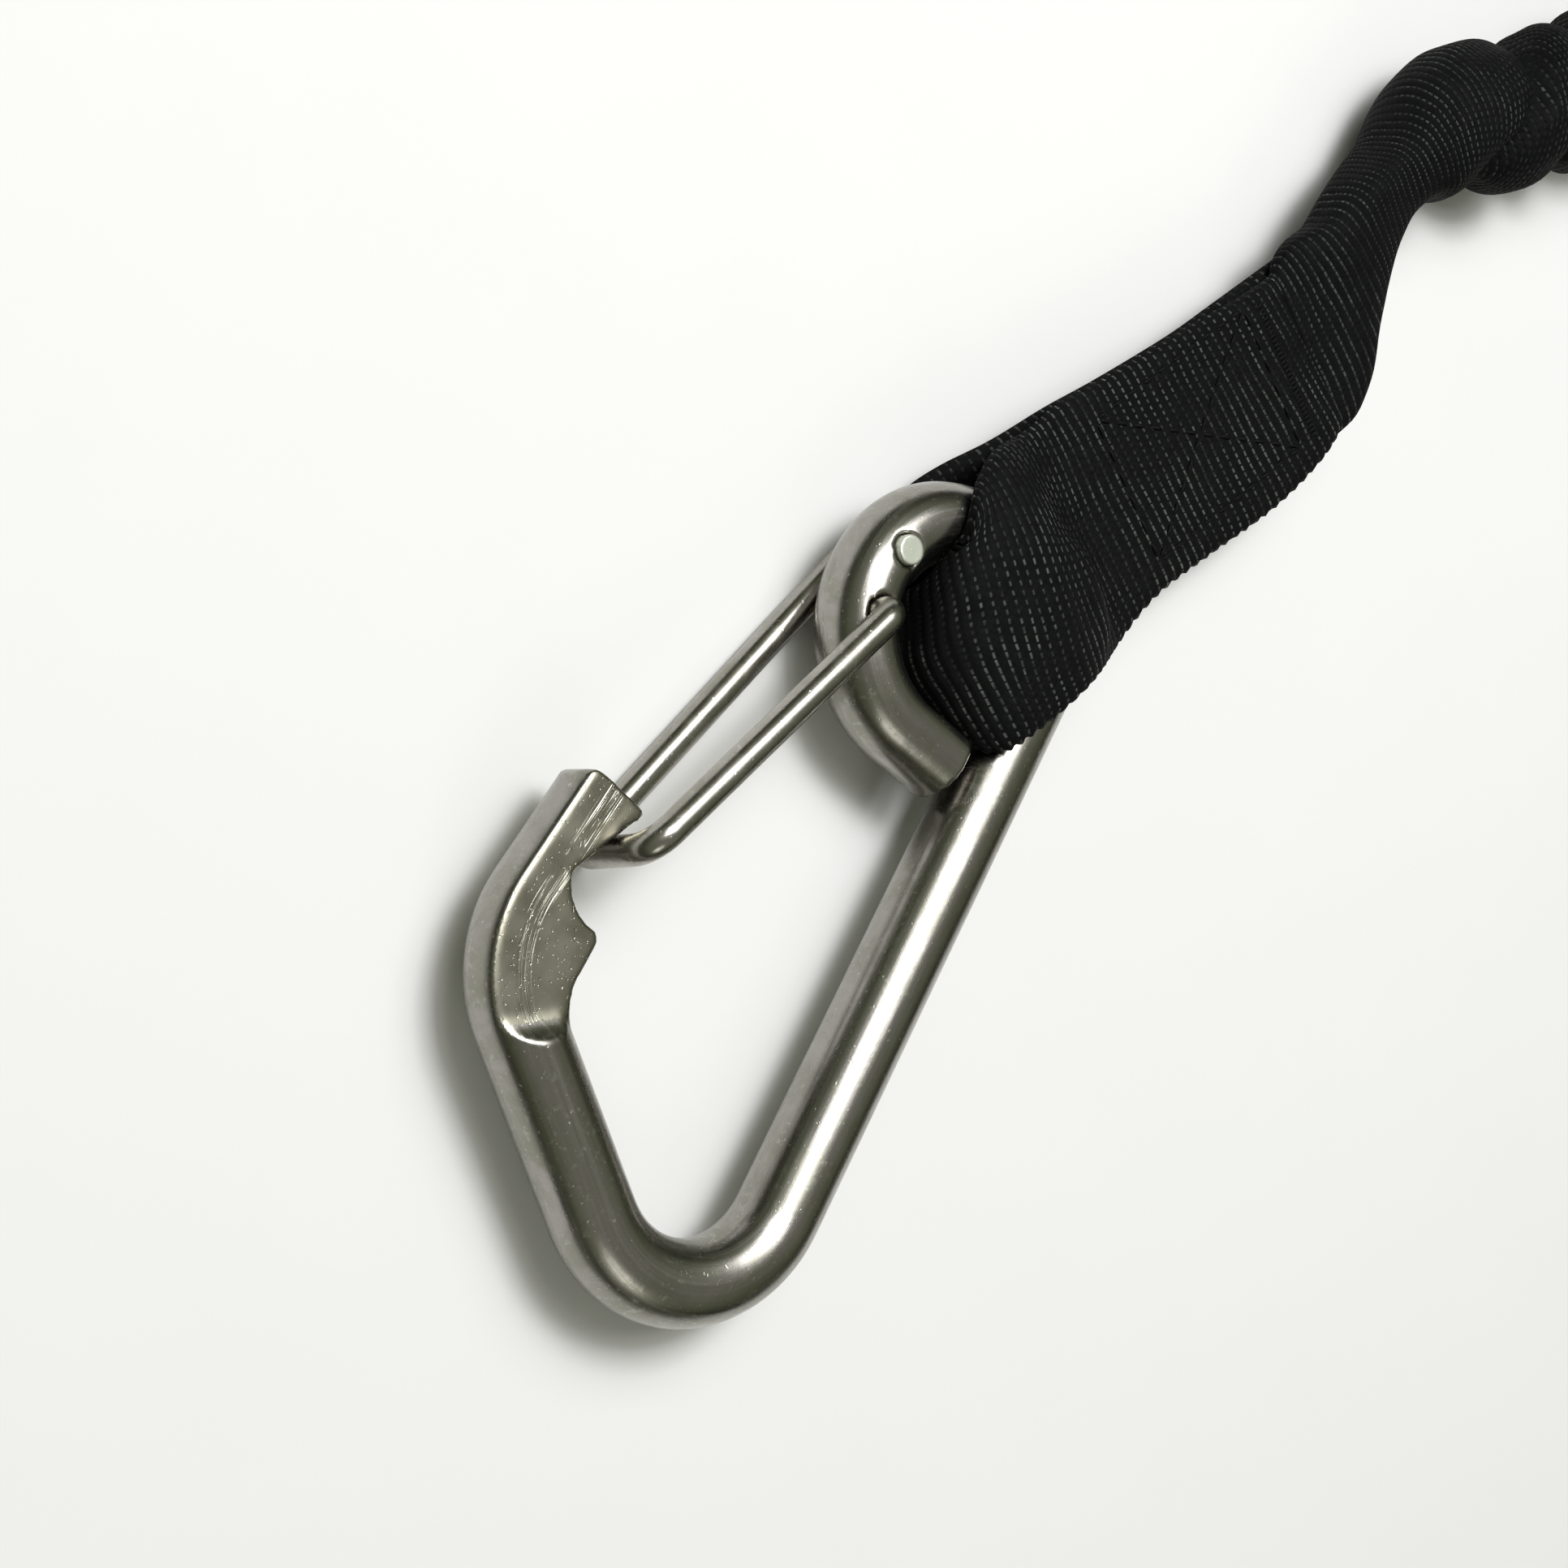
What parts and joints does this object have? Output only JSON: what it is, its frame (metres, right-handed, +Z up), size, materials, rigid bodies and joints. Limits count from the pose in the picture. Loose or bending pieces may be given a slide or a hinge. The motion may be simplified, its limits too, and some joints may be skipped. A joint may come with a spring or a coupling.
{
  "type": "shock absorbing tool lanyard",
  "caption": "Elastic tool lanyard: wire-gate steel carabiner sewn into a webbing loop, gathered sleeve over a stretch core, and a cinching tail loop with cord lock.",
  "frame": {"origin": "on the surface that the lanyard lies on, under the middle of the carabiner and its sewn webbing loop", "axes": "+X along the carabiner's spine towards the lanyard, +Y towards the gate, +Z up out of the surface"},
  "size_m": [0.482, 0.2368, 0.02],
  "materials": {
    "stainless_steel": "tumbled and polished stainless steel",
    "gate_steel": "polished stainless wire",
    "webbing": "black flat-woven tubular webbing with fine grey flecks",
    "sleeve_fabric": "black tubular webbing, gathered",
    "thread": "black bonded thread",
    "core_rubber": "braid-covered rubber strands",
    "loop_cord": "black braided cord",
    "lock_plastic": "moulded black nylon"
  },
  "bodies": {
    "root": {"hook_loop_webbing": "webbing", "hook_box_stitching": "thread", "hook_bar_tack": "thread", "sleeve": "sleeve_fabric", "bungee_core": "core_rubber", "sleeve_coil": "sleeve_fabric", "bungee_core_coil": "core_rubber", "tail_tab_webbing": "webbing", "tail_box_stitching": "thread", "tail_bar_tack": "thread", "choke_loop_cord": "loop_cord"},
    "carabiner": {"carabiner_body": "stainless_steel", "gate_rear_pivot": "gate_steel"},
    "gate": {"gate_wire": "gate_steel"},
    "cord_lock": {"cord_lock_barrel": "lock_plastic", "cord_lock_spring": "gate_steel"},
    "lock_button": {"cord_lock_plunger": "lock_plastic"}
  },
  "joints": [
    {"name": "carabiner_swing", "type": "hinge", "parent": "root", "child": "carabiner", "pos_m": [0.025, 0.0023, 0.0088], "axis": [0, 1, 0], "range_deg": [-90, 90]},
    {"name": "gate_hinge", "type": "hinge", "parent": "carabiner", "child": "gate", "pos_m": [0.0067, 0.0166, 0.0088], "axis": [0, 0, 1], "range_deg": [0, 40], "stiffness_Nm_per_rad": 0.2, "springref_deg": -17.19},
    {"name": "cord_lock_slide", "type": "slide", "parent": "root", "child": "cord_lock", "axis": [0.7329, -0.6804, 0], "range_m": [-0.006, 0.018]},
    {"name": "lock_button_press", "type": "slide", "parent": "cord_lock", "child": "lock_button", "axis": [-0.6804, -0.7329, 0], "range_m": [0, 0.004], "stiffness_N_per_m": 800, "springref_m": -0.004, "deforming": ["cord_lock_spring"]}
  ]
}
